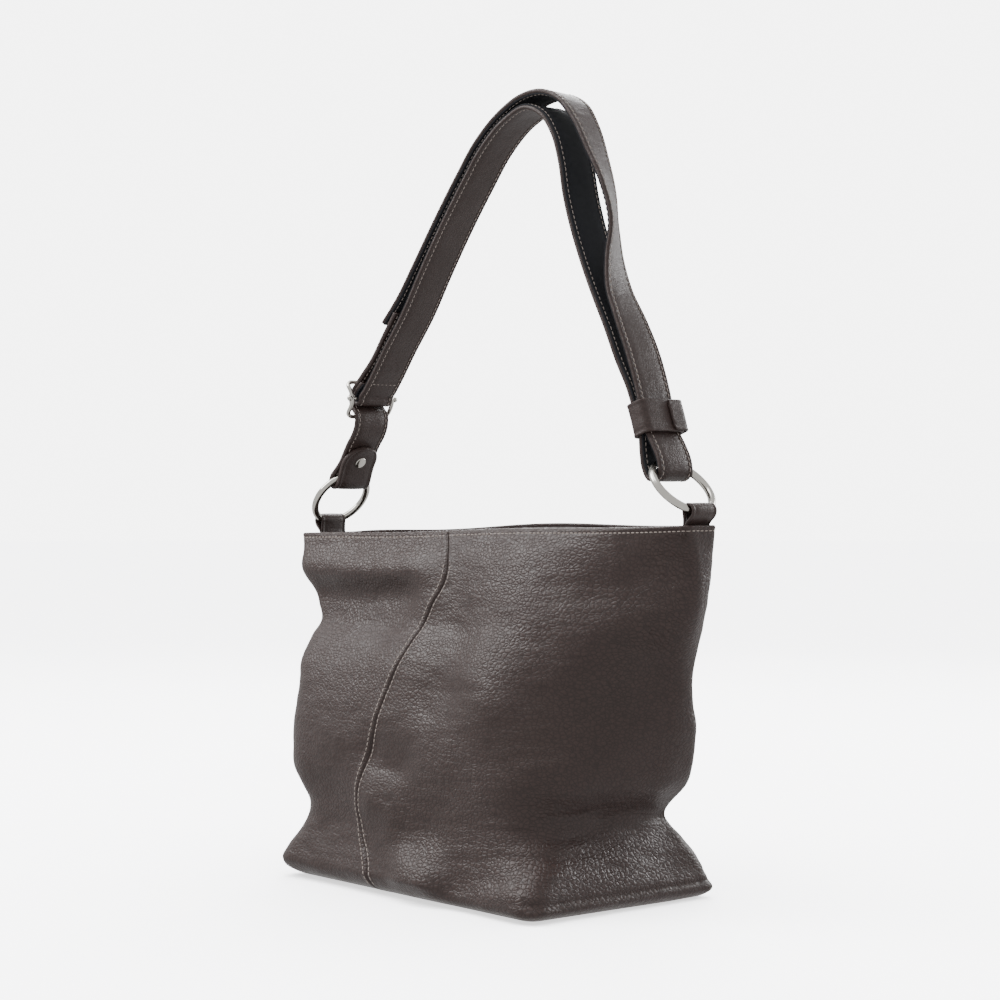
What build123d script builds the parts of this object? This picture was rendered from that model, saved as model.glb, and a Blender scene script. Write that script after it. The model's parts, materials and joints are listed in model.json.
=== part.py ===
from build123d import *
import os
from math import cos, radians, sin

# A slouchy leather hobo bag. X runs along the rim from ring to ring, -Y is the
# front, +Z is up, and the origin is on the floor under the middle of the base.

# Driving dimensions, in millimetres
base_length = 251
base_depth = 156
base_twist = -2.2  # the soft base stands a little turned under the rim
rim_left = (-188, 27)  # end of the rim: X, half width
rim_right = (190, 13)
rim_height_left = 238
rim_height_right = 247.5
top_cut = 256  # the walls are made this high, then cut at the rim
leather = 1.8
lining = 1.2
facing_depth = 30

ring_radius = 21.5  # to the middle of the wire
wire = 2.5  # radius of the ring's wire
ring_left_centre = Vector(-173, 0, 264)
ring_right_centre = Vector(173, 0, 271.2)
ring_left_tilt = 39  # from upright, top towards the middle of the bag
ring_right_tilt = -45

tab_width = 22
tab_ply = 1.6
tab_tail = 26
tab_loop = 6.3  # inside radius of the loop, so that the ring can swing
tab_loop_left = (-184.3, 248.7)  # middle of each loop: X, height
tab_loop_right = (185.7, 257.6)

strap_width = 30
strap_leather = 2.6
strap_back = 1.0
strap_thickness = strap_leather + strap_back
short_thickness = 3.2
pin_radius = 1.5
pin_centre = Vector(-136, 0, 336)
bar_x = -141.5  # the buckle's end bars stand behind its pin
bar_low = 323
bar_high = 348

os.makedirs("parts", exist_ok=True)


def save(part, name):
    """Label a finished piece and write its STEP file."""
    part.label = name
    export_step(part, f"parts/{name}.step")


def rim_height(x):
    """Height of the rim at X."""
    share = (x - rim_left[0]) / (rim_right[0] - rim_left[0])
    return rim_height_left + share * (rim_height_right - rim_height_left)


# ---------------------------------------------------------------- bag walls

# Each level: height, left X and its front and back Y, right X and its front and
# back Y, corner radius. The gussets pinch in above the base and the walls then
# run up to the long, narrow rim.
half_length = base_length / 2
half_depth = base_depth / 2
foot_x = half_length - 4  # the bottom edge is rolled under
foot_y = half_depth - 5
levels = [
    (0, -foot_x, -foot_y, foot_y, foot_x, -foot_y, foot_y, 22),
    (10, -half_length, -half_depth, half_depth, half_length, -half_depth, half_depth, 24),
    (60, -124, -70, 54, 120, -66, 48, 24),
    (125, -141, -57, 52, 140, -48, 42, 20),
    (190, -161, -42, 40, 163, -31, 28, 14),
    (top_cut, rim_left[0] - 8, -rim_left[1] + 2, rim_left[1] - 2, rim_right[0] + 4, -11.5, 11.5, 8),
]


def bag_form(inset, floor):
    """The bag's outside, drawn in by inset, with its bottom at height floor."""
    with BuildPart() as form:
        for index, (z, xl, fl, bl, xr, fr, br, corner) in enumerate(levels):
            height = floor if index == 0 else z
            turn = base_twist if index < 2 else 0
            with BuildSketch(Plane.XY.offset(height).rotated((0, 0, turn))):
                with BuildLine():
                    Polyline(
                        (xl + inset, fl + inset),
                        (xr - inset, fr + inset),
                        (xr - inset, br - inset),
                        (xl + inset, bl - inset),
                        close=True,
                    )
                make_face()
                fillet(vertices(), corner - inset)
        loft(ruled=True)
    return form.part


outer_form = bag_form(0, 0)
leather_form = bag_form(leather, leather)
lining_form = bag_form(leather + lining, leather + lining)

# Everything below the rim, and everything below the facings
with BuildPart() as below_rim:
    with BuildSketch(Plane.XZ):
        with BuildLine():
            Polyline(
                (-250, rim_height(-250)),
                (250, rim_height(250)),
                (250, -10),
                (-250, -10),
                close=True,
            )
        make_face()
    extrude(amount=120, both=True)

with BuildPart() as below_facing:
    add(below_rim.part.moved(Location((0, 0, -facing_depth))))

# The curved seam, the same on the front and the back, as seen from the front
with BuildPart() as left_of_seam:
    with BuildSketch(Plane.XZ):
        with BuildLine():
            Spline((-28, 262), (-20, 215), (-33, 150), (-52, 90), (-49, 40), (-22, -5))
            Polyline((-22, -5), (-250, -5), (-250, 262), (-28, 262))
        make_face()
    extrude(amount=120, both=True)

with BuildPart() as front_half:
    with Locations((0, -60, 125)):
        Box(500, 120, 300)


# -------------------------------------------------- rings, and tabs that hold them


def ring_plane(centre, tilt):
    """Plane of a ring that leans about Y, with its own X up the ring."""
    up = Vector(sin(radians(tilt)), 0, cos(radians(tilt)))
    return Plane(origin=centre, x_dir=up, z_dir=up.cross(Vector(0, 1, 0)))


def ring(centre, tilt):
    plane = ring_plane(centre, tilt)
    with BuildPart() as made:
        with Locations(Location(plane)):
            Torus(ring_radius, wire)
    return made.part


def offset_band(middle, low, high):
    """Face in XZ between two offsets of a line of points, each a smooth curve."""
    points = [Vector(x, 0, z) for x, z in middle]
    sides = []
    for distance in (low, high):
        side = []
        for index, point in enumerate(points):
            before = points[max(index - 1, 0)]
            after = points[min(index + 1, len(points) - 1)]
            along = (after - before).normalized()
            normal = Vector(-along.Z, 0, along.X)
            side.append(point + normal * distance)
        sides.append(side)
    with BuildSketch(Plane.XZ) as band:
        with BuildLine(Plane.XY):
            first = Spline([(p.X, p.Z) for p in sides[0]])
            second = Spline([(p.X, p.Z) for p in sides[1]])
            Line(first @ 0, second @ 0)
            Line(first @ 1, second @ 1)
        make_face()
    return band.sketch


def half_turn(centre, radius, start, end, steps):
    """Points round an arc, by angle in degrees, in the XZ plane."""
    turn = (end - start) / steps
    angles = [radians(start + turn * step) for step in range(steps + 1)]
    return [(centre[0] + radius * cos(a), centre[1] + radius * sin(a)) for a in angles]


def tab(side, x_rim, loop, z_rim):
    """A leather strip folded over the ring's wire. Its plies are sewn together
    below the wire and run down between the wall and the facing."""
    slant = 0.5  # how far the wall runs in, for each millimetre down
    tail = tab_ply * 1.12  # half the tail's width, across the slant
    middle = x_rim - side * (leather + tail)
    foot = middle - side * slant * tab_tail
    with BuildPart() as made:
        with BuildSketch(Plane.XZ):
            with BuildLine():
                Polyline(
                    (foot - tail, z_rim - tab_tail),
                    (middle - tail, z_rim),
                    (loop[0] - 3.4, loop[1] - tab_loop),
                    (loop[0] + 3.4, loop[1] - tab_loop),
                    (middle + tail, z_rim),
                    (foot + tail, z_rim - tab_tail),
                    close=True,
                )
            make_face()
            with Locations(loop):
                Circle(tab_loop + tab_ply)
                Circle(tab_loop, mode=Mode.SUBTRACT)
        extrude(amount=tab_width / 2, both=True)
    return made.part


left_ring = ring(ring_left_centre, ring_left_tilt)
right_ring = ring(ring_right_centre, ring_right_tilt)
save(left_ring, "left_ring")
save(right_ring, "right_ring")

tab_left_part = tab(-1, rim_left[0], tab_loop_left, rim_height(rim_left[0]))
tab_right_part = tab(1, rim_right[0], tab_loop_right, rim_height(rim_right[0]))
save(tab_left_part, "left_ring_tab")
save(tab_right_part, "right_ring_tab")

# ------------------------------------------------------ leather, facings, lining

with BuildPart() as outer_wall:
    add(outer_form)
    add(leather_form, mode=Mode.SUBTRACT)
    add(below_rim.part, mode=Mode.INTERSECT)
    add(tab_left_part, mode=Mode.SUBTRACT)
    add(tab_right_part, mode=Mode.SUBTRACT)

with BuildPart() as inner_wall:
    add(leather_form)
    add(lining_form, mode=Mode.SUBTRACT)
    add(below_rim.part, mode=Mode.INTERSECT)
    add(tab_left_part, mode=Mode.SUBTRACT)
    add(tab_right_part, mode=Mode.SUBTRACT)

with BuildPart() as left_panel:
    add(outer_wall.part)
    add(left_of_seam.part, mode=Mode.INTERSECT)
save(left_panel.part, "left_panel")

with BuildPart() as right_panel:
    add(outer_wall.part)
    add(left_of_seam.part, mode=Mode.SUBTRACT)
save(right_panel.part, "right_panel")

with BuildPart() as lining_front:
    add(inner_wall.part)
    add(below_facing.part, mode=Mode.INTERSECT)
    add(front_half.part, mode=Mode.INTERSECT)
save(lining_front.part, "lining_front")

with BuildPart() as lining_back:
    add(inner_wall.part)
    add(below_facing.part, mode=Mode.INTERSECT)
    add(front_half.part, mode=Mode.SUBTRACT)
save(lining_back.part, "lining_back")

with BuildPart() as facing_front:
    add(inner_wall.part)
    add(below_facing.part, mode=Mode.SUBTRACT)
    add(front_half.part, mode=Mode.INTERSECT)
save(facing_front.part, "facing_front")

with BuildPart() as facing_back:
    add(inner_wall.part)
    add(below_facing.part, mode=Mode.SUBTRACT)
    add(front_half.part, mode=Mode.SUBTRACT)
save(facing_back.part, "facing_back")

# ------------------------------------------------------------- magnetic snap

snap_height = 228
snap_radius = 9
snap_reach = 19.5  # each half's inner face, from the middle of the mouth

with BuildPart() as magnet_front:
    with BuildSketch(Plane.XZ.offset(snap_reach)):
        with Locations((0, snap_height)):
            Circle(snap_radius)
    extrude(amount=12)
    add(leather_form, mode=Mode.INTERSECT)
    add(inner_wall.part, mode=Mode.SUBTRACT)
    with BuildSketch(Plane.XZ.offset(snap_reach)):
        with Locations((0, snap_height)):
            Circle(3)
    extrude(amount=-2)
save(magnet_front.part, "magnet_stud")

with BuildPart() as magnet_back:
    with BuildSketch(Plane.XZ.offset(-snap_reach)):
        with Locations((0, snap_height)):
            Circle(snap_radius)
            Circle(3.2, mode=Mode.SUBTRACT)
    extrude(amount=-12)
    add(leather_form, mode=Mode.INTERSECT)
    add(inner_wall.part, mode=Mode.SUBTRACT)
save(magnet_back.part, "magnet_socket")

# -------------------------------------------------------- inner zipped pocket

pocket_width = 170
pocket_drop = 125
pocket_top = 218
pocket_thickness = 3
zip_length = 140
zip_height = 196  # middle of the zip
tape_width = 22
chain_width = 4.6
pocket_plane = Plane(origin=(0, 20, 0), x_dir=(1, -0.037, 0), z_dir=(-0.037, -1, 0))

with BuildPart() as pocket_bag:
    with BuildSketch(pocket_plane):
        with Locations((0, pocket_top - pocket_drop / 2)):
            RectangleRounded(pocket_width, pocket_drop, 8)
    extrude(amount=-pocket_thickness)
save(pocket_bag.part, "pocket_bag")

with BuildPart() as pocket_binding:
    with BuildSketch(pocket_plane.offset(-pocket_thickness)):
        with Locations((0, pocket_top - 3)):
            Rectangle(pocket_width - 24, 5)
    extrude(amount=-14)
    add(leather_form, mode=Mode.INTERSECT)
    add(inner_wall.part, mode=Mode.SUBTRACT)
save(pocket_binding.part, "pocket_binding")

with BuildPart() as pocket_tape:
    with BuildSketch(pocket_plane):
        with Locations((0, zip_height)):
            Rectangle(zip_length + 12, tape_width)
    extrude(amount=0.6)
save(pocket_tape.part, "pocket_zip_tape")

with BuildPart() as pocket_chain:
    with BuildSketch(pocket_plane.offset(0.6)):
        with Locations((0, zip_height)):
            Rectangle(zip_length, chain_width)
    extrude(amount=1.2)
save(pocket_chain.part, "pocket_zip_teeth")

with BuildPart() as pocket_stops:
    with BuildSketch(pocket_plane.offset(0.6)):
        with Locations((-zip_length / 2 - 1.5, zip_height), (zip_length / 2 + 1.5, zip_height)):
            Rectangle(2.8, chain_width + 1)
    extrude(amount=1.6)
save(pocket_stops.part, "pocket_zip_stops")

slider_x = -zip_length / 2 + 8  # the pocket is zipped shut
slider_gap = 0.3
slider_plane = pocket_plane.offset(0.6 + slider_gap)
with BuildPart() as pocket_slider:
    with BuildSketch(slider_plane):
        with Locations((slider_x, zip_height)):
            RectangleRounded(10, 9, 3)
    extrude(amount=3.2)
    with BuildSketch(slider_plane):
        with Locations((slider_x, zip_height)):
            Rectangle(12, chain_width + 0.6)
    extrude(amount=1.2, mode=Mode.SUBTRACT)
    # bridge that holds the puller's crossbar
    with BuildSketch(slider_plane.offset(3.2)):
        with Locations((slider_x, zip_height - 2.6), (slider_x, zip_height + 2.6)):
            Rectangle(2, 1.2)
    extrude(amount=3.4)
    with BuildSketch(slider_plane.offset(5.4)):
        with Locations((slider_x, zip_height)):
            Rectangle(2, 6.4)
    extrude(amount=1.2)
save(pocket_slider.part, "pocket_zip_slider")

# The puller hangs by its crossbar, under the bridge
puller_length = 26
crossbar = 1.6
with BuildPart() as pocket_puller:
    with BuildSketch(slider_plane.offset(3.7)):
        with Locations((slider_x, zip_height + crossbar / 2 - puller_length / 2)):
            RectangleRounded(7.6, puller_length, 0.7)
        with Locations((slider_x, zip_height - 2.5)):
            Rectangle(3.6, 3.4, mode=Mode.SUBTRACT)
    extrude(amount=1.2)
save(pocket_puller.part, "pocket_zip_puller")

# ------------------------------------------------------------------- strap

# The strap is one strip, doubled through the right ring. Its outer layer starts
# at a lap above the buckle, runs over and down, turns round the right ring and
# comes back as the inner layer to the buckle's pin.
# At each end a plane stands in the middle of the turn, its Z up the strap.
right_end = Plane(origin=(160.3, 0, 282.8), x_dir=(0.947, 0, 0.32), z_dir=(-0.32, 0, 0.947))
left_end = Plane(origin=(-162.8, 0, 276.7), x_dir=(0.82, 0, -0.573), z_dir=(0.573, 0, 0.82))


def beside_ring(end, across, up):
    """A point in XZ, across and up the strap from the middle of its turn."""
    point = end.origin + end.x_dir * across + end.z_dir * up
    return (point.X, point.Z)


turn_radius = 7.25
outer_layer = [
    (-106, 388.5),
    (-89, 405.5),
    (-71, 428),
    (-48, 457.5),
    (-26, 484),
    (-6, 506),
    (18, 523),
    (38, 531),
    (58, 531.5),
    (74, 524),
    (86, 509),
    (97, 487),
    (106, 464),
    (111, 441),
    (111.5, 420),
    (116.5, 400),
    (127.5, 378),
    (138, 356.5),
]
right_turn = [
    beside_ring(right_end, 3.2, 54),
    beside_ring(right_end, 2.5, 38),
    beside_ring(right_end, 2.5, 24),
    beside_ring(right_end, 5.8, 12),
    beside_ring(right_end, turn_radius, 2),
    beside_ring(right_end, 5.1, -5.6),
    beside_ring(right_end, 0, -turn_radius),
    beside_ring(right_end, -5.1, -5.6),
    beside_ring(right_end, -turn_radius, 2),
    beside_ring(right_end, -5.8, 12),
    beside_ring(right_end, -2.5, 24),
    beside_ring(right_end, -2.5, 38),
    beside_ring(right_end, -3.2, 54),
]
inner_layer = [
    (129.5, 352),
    (119, 374),
    (108, 396),
    (98, 418),
    (89, 440),
    (82, 462),
    (77, 485),
    (70, 503),
    (58, 518),
    (42, 524),
    (23, 518.5),
    (-2, 501),
    (-21, 479.5),
    (-43, 452.5),
    (-65.5, 422),
    (-84.5, 394.5),
    (-106, 368.8),
    (-121.5, 349),
    (-129.2, 340.2),
]
fold_radius = pin_radius + 0.15 + strap_thickness / 2
pin_turn = half_turn((pin_centre.X, pin_centre.Z), fold_radius, 15, -185, 5)
fold_end = [(-136.4, 341.5), (-130.2, 346.5)]
strap_line = [*outer_layer, *right_turn, *inner_layer, *pin_turn, *fold_end]


def strip(middle, low, high, width=strap_width):
    """A strip of leather across Y, between two offsets of its middle line."""
    with BuildPart() as made:
        with BuildSketch(Plane.XZ):
            add(offset_band(middle, low, high))
        extrude(amount=width / 2, both=True)
    return made.part


# Walking along the outer layer, its outside is on the positive side
half = strap_thickness / 2
long_strap = strip(strap_line, half - strap_leather, half)
save(long_strap, "long_strap")
strap_backing = strip(strap_line, -half, half - strap_leather)
save(strap_backing, "strap_backing")

# The short strap is leather on both sides. It is folded round the left ring and
# riveted, runs through the buckle, behind the pin, and ends under the lap.
ply = short_thickness / 2
fold_plane = Plane(origin=left_end.origin, x_dir=left_end.x_dir, z_dir=(0, -1, 0))
fold_inside = 4.7
sewn = short_thickness + 0.1  # half of the two plies together
rivet_up = 18
flap_end = 29
short_line = [
    beside_ring(left_end, -sewn + ply, flap_end - 5),
    beside_ring(left_end, -sewn + ply, flap_end),
    (-141, 309.5),
    (-137.4, 316.5),
    (-137.1, 324),
    (-142.4, 331),
    (-143.6, 338),
    (-138.4, 344.4),
    (-130.6, 351.8),
    (-120, 361.6),
    (-105, 380.3),
    (-93, 395),
]
rivet_place = Plane(
    origin=left_end.origin + left_end.z_dir * rivet_up, x_dir=(0, 1, 0), z_dir=left_end.x_dir
)
rivet_hole = 2
with BuildPart() as short_strap:
    add(strip(short_line, -ply, ply))
    with BuildSketch(fold_plane):
        Circle(fold_inside + short_thickness)
        with BuildLine():
            Polyline(
                (-fold_inside - 3.1, 1),
                (-sewn, rivet_up - 5),
                (-sewn, flap_end),
                (sewn, flap_end),
                (sewn, rivet_up - 5),
                (fold_inside + 3.1, 1),
                close=True,
            )
        make_face()
        Circle(fold_inside, mode=Mode.SUBTRACT)
        with BuildLine():
            Polyline(
                (-fold_inside + 0.1, 1),
                (-2, rivet_up - 4),
                (2, rivet_up - 4),
                (fold_inside - 0.1, 1),
                close=True,
            )
        make_face(mode=Mode.SUBTRACT)
    extrude(amount=strap_width / 2, both=True)
    with BuildSketch(rivet_place):
        Circle(rivet_hole)
    extrude(amount=8, both=True, mode=Mode.SUBTRACT)
save(short_strap.part, "short_strap")

with BuildPart() as strap_rivet:
    with BuildSketch(rivet_place):
        Circle(rivet_hole)
    extrude(amount=sewn, both=True)
    with BuildSketch(rivet_place.offset(sewn), rivet_place.offset(-sewn - 1.2)):
        Circle(4.5)
    extrude(amount=1.2)
save(strap_rivet.part, "strap_rivet")

# ------------------------------------------------------------------ buckle

# A frame with a straight bar at each end and sides that bow forward to the pin.
frame_width = 40
frame_wire = 3
frame_middle = (bar_low + bar_high) / 2
with BuildPart() as buckle_frame:
    with BuildSketch(Plane.YZ.offset(bar_x - 5)):
        with Locations((0, frame_middle)):
            RectangleRounded(frame_width, bar_high - bar_low + frame_wire, 5)
            RectangleRounded(
                frame_width - 2 * frame_wire,
                bar_high - bar_low - frame_wire,
                3,
                mode=Mode.SUBTRACT,
            )
    extrude(amount=14)
    with BuildSketch(Plane.XZ) as bow:
        with BuildLine():
            for side in (1, -1):
                face_x = bar_x + side * frame_wire / 2
                Line((face_x, bar_low - 4), (face_x, bar_low + 2))
                ThreePointArc(
                    (face_x, bar_low + 2),
                    (pin_centre.X + side * (frame_wire / 2 + 0.3), pin_centre.Z),
                    (face_x, bar_high - 2),
                )
                Line((face_x, bar_high - 2), (face_x, bar_high + 4))
            for end in (bar_low - 4, bar_high + 4):
                Line((bar_x - frame_wire / 2, end), (bar_x + frame_wire / 2, end))
        make_face()
    extrude(amount=frame_width, both=True, mode=Mode.INTERSECT)
    with BuildSketch(Plane.XZ):
        with Locations((pin_centre.X, pin_centre.Z)):
            Circle(0.8 + 0.06)
    extrude(amount=frame_width, both=True, mode=Mode.SUBTRACT)
save(buckle_frame.part, "buckle_frame")

with BuildPart() as buckle_pin:
    with BuildSketch(Plane.XZ.offset(-frame_width / 2 + frame_wire + 0.3)):
        with Locations((pin_centre.X, pin_centre.Z)):
            Circle(pin_radius)
    extrude(amount=frame_width - 2 * frame_wire - 0.6)
    with BuildSketch(Plane.XZ):
        with Locations((pin_centre.X, pin_centre.Z)):
            Circle(0.8)
    extrude(amount=frame_width / 2 + 2, both=True)
    with Locations(
        (pin_centre.X, frame_width / 2 + 2, pin_centre.Z),
        (pin_centre.X, -frame_width / 2 - 2, pin_centre.Z),
    ):
        Sphere(1.7)
save(buckle_pin.part, "buckle_pin")

# ------------------------------------------------------------------ keeper

keeper_low = 22
keeper_height = 22
keeper_leather = 2
keeper_slack = 0.3
stack_half = 2.5 + strap_thickness / 2 + keeper_slack + 0.8
keeper_plane = right_end.offset(keeper_low)
side_half = strap_width / 2 + keeper_slack
stud_post = 1.2
keeper_centre = keeper_plane.origin + keeper_plane.z_dir * keeper_height / 2
keeper_side = Plane(
    origin=keeper_centre + Vector(0, side_half + keeper_leather, 0),
    x_dir=keeper_plane.x_dir,
    z_dir=(0, 1, 0),
)
with BuildPart() as keeper_band:
    with BuildSketch(keeper_plane):
        RectangleRounded(
            2 * (stack_half + keeper_leather), 2 * (side_half + keeper_leather), 2.5
        )
        Rectangle(2 * stack_half, 2 * side_half, mode=Mode.SUBTRACT)
    extrude(amount=keeper_height)
    with BuildSketch(keeper_side):
        Circle(stud_post)
    extrude(amount=-keeper_leather - 0.5, mode=Mode.SUBTRACT)
save(keeper_band.part, "keeper_band")

with BuildPart() as snap_stud:
    with BuildSketch(keeper_side):
        Circle(stud_post)
    extrude(amount=-keeper_leather)
    with BuildSketch(keeper_side):
        Circle(4)
    extrude(amount=0.8)
save(snap_stud.part, "snap_stud")

# A rounded tongue folds from the front corner over the side of the keeper
flap_plane = keeper_side.offset(1.1)
flap_reach = 2 * (stack_half + keeper_leather) + 2
with BuildPart() as keeper_flap:
    with BuildSketch(flap_plane):
        with Locations((stack_half + keeper_leather - 0.3 - flap_reach / 2, 0)):
            Rectangle(flap_reach, keeper_height - 1)
        fillet(vertices().group_by(Axis.X)[0], keeper_height / 2 - 1)
        Circle(stud_post, mode=Mode.SUBTRACT)
    extrude(amount=keeper_leather)
save(keeper_flap.part, "keeper_flap")

with BuildPart() as snap_cap:
    with BuildSketch(flap_plane):
        Circle(stud_post)
    extrude(amount=keeper_leather)
    with BuildSketch(flap_plane.offset(keeper_leather)):
        Circle(6)
    extrude(amount=1.4)
    fillet(snap_cap.faces().sort_by(Axis.Y)[-1].edges(), 0.9)
save(snap_cap.part, "snap_cap")
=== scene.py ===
import json
import math

import bmesh
import bpy
import numpy as np
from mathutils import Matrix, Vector, noise
from mathutils.bvhtree import BVHTree

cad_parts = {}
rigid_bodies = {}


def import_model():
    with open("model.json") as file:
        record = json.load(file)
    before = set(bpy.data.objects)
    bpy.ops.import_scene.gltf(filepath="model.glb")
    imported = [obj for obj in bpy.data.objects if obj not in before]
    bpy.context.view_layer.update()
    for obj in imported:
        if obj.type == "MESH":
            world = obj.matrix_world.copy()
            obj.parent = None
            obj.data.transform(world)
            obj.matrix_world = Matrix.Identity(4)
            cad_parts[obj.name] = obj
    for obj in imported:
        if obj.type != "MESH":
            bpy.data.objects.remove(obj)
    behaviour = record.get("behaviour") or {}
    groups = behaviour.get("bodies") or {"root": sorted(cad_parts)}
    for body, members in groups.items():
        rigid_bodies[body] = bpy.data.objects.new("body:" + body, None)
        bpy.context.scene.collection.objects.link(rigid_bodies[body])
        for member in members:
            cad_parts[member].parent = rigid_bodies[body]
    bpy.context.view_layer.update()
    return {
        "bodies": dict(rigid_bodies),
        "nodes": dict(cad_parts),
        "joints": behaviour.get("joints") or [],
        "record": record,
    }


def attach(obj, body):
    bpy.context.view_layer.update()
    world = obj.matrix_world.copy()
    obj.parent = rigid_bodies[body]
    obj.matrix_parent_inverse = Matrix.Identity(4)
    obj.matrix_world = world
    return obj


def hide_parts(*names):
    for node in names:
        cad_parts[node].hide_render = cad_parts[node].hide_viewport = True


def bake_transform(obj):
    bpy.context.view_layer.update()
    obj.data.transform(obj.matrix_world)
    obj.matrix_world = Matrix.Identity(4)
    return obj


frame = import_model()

# A slouchy leather hobo bag. Shapes are written in millimetres, in the CAD
# frame: X along the rim, -Y to the front, +Z up. MM turns them into metres.
MM = 0.001

# ---- camera

CAMERA_AZIMUTH = math.radians(48)
CAMERA_DISTANCE = 1530
CAMERA_SIDE = 1.8
CAMERA_HEIGHT = 265
CAMERA_LENS = 80.75
CAMERA_SHIFT = -0.0034


def make_camera():
    data = bpy.data.cameras.new("camera")
    data.lens = CAMERA_LENS
    data.shift_y = CAMERA_SHIFT
    data.clip_end = 50
    camera = bpy.data.objects.new("camera", data)
    back = Vector((math.sin(CAMERA_AZIMUTH), -math.cos(CAMERA_AZIMUTH), 0))
    right = Vector((math.cos(CAMERA_AZIMUTH), math.sin(CAMERA_AZIMUTH), 0))
    up = Vector((0, 0, CAMERA_HEIGHT))
    camera.location = (back * CAMERA_DISTANCE + right * CAMERA_SIDE + up) * MM
    camera.rotation_euler = (math.pi / 2, 0, CAMERA_AZIMUTH)
    bpy.context.scene.collection.objects.link(camera)
    bpy.context.scene.camera = camera


SEEN_WHITE = 6.0  # how bright the backdrop and the floor look to the camera
FILL = 1.0  # how strongly the backdrop lights the bag
FLOOR_LIGHT = 15  # strength of the light that falls on the floor alone
FLOOR_PALE = 0.82  # share of that light which the floor sends back


def new_lamp(name, kind, power):
    data = bpy.data.lights.new(name, kind)
    data.energy = power
    lamp = bpy.data.objects.new(name, data)
    bpy.context.scene.collection.objects.link(lamp)
    return lamp


def area_light(name, azimuth, elevation, distance, size, power):
    """A square soft box that looks at the middle of the bag, and doesn't show."""
    lamp = new_lamp(name, "AREA", power)
    lamp.data.size = size
    lamp.visible_camera = False
    turn, rise = math.radians(azimuth), math.radians(elevation)
    level = math.cos(rise)
    out = Vector((math.sin(turn) * level, -math.cos(turn) * level, math.sin(rise)))
    lamp.location = Vector((0, 0, 0.2)) + out * distance
    lamp.rotation_euler = (-out).to_track_quat("-Z", "Y").to_euler()


def seen_strength(tree, given, seen, socket):
    """A strength that is seen by the camera, and another that lights the bag."""
    sight = tree.nodes.new("ShaderNodeLightPath").outputs["Is Camera Ray"]
    strength = tree.nodes.new("ShaderNodeMapRange")
    strength.inputs["To Min"].default_value = given
    strength.inputs["To Max"].default_value = seen
    tree.links.new(sight, strength.inputs["Value"])
    tree.links.new(strength.outputs["Result"], socket)


def light_floor(floor):
    """A wide overhead light on the floor alone, which shows the bag's soft shadow."""
    floor.visible_diffuse = False
    floor.visible_glossy = False
    only = bpy.data.collections.new("floor_only")
    only.objects.link(floor)
    lamp = new_lamp("floor_light", "SUN", FLOOR_LIGHT)
    lamp.data.angle = math.radians(110)
    lamp.location = (0, 0, 3)
    lamp.light_linking.receiver_collection = only


def make_studio():
    area_light("key_left", -50, 42, 1.7, 0.8, 27)
    area_light("top", -35, 72, 1.8, 1.0, 16)
    area_light("behind", -138, 36, 1.9, 0.9, 26)
    area_light("edge_right", 170, 16, 1.7, 0.6, 15)
    world = bpy.data.worlds.new("studio")
    world.use_nodes = True
    background = world.node_tree.nodes["Background"]
    background.inputs["Color"].default_value = (1, 1, 1, 1)
    seen_strength(world.node_tree, FILL, SEEN_WHITE, background.inputs["Strength"])
    bpy.context.scene.world = world
    bpy.ops.mesh.primitive_circle_add(vertices=128, radius=12, fill_type="NGON",
                                      location=(0, 0, -0.0004))
    floor = bpy.context.object
    floor.name = "floor"
    floor.data.materials.append(make_floor_material())
    light_floor(floor)


# ---- materials


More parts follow.
